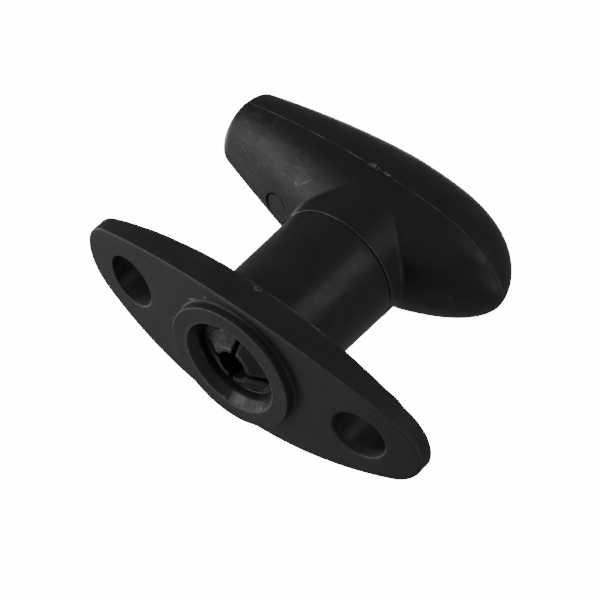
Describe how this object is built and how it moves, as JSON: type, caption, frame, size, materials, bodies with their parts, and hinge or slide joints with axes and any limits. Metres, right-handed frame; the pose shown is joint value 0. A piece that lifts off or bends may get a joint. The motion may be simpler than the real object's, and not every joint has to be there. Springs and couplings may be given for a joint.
{
  "type": "swivelling horn cleat",
  "caption": "Black moulded cleat: a lens-shaped screw-down flange with a tubular neck and a boat-shaped horn head that snaps in and turns on the neck.",
  "frame": {"origin": "centre of the boss's end face, on the neck's axis: the middle of the bottom of the bounding box", "axes": "+X along the flange's long side, towards the horn's round nose; +Y across the flange; +Z along the neck, from the boss to the head"},
  "size_m": [0.0584, 0.0232, 0.0451],
  "materials": {
    "base_nylon": "black moulded nylon, fine spark-eroded grain on the flange",
    "head_nylon": "black moulded nylon, satin"
  },
  "bodies": {
    "base": {"swivel_base": "base_nylon"},
    "head": {"horn_head": "head_nylon"}
  },
  "joints": [
    {"name": "head_swivel", "type": "hinge", "parent": "base", "child": "head", "pos_m": [0, 0, 0.0235], "axis": [0, 0, 1], "continuous": true}
  ]
}
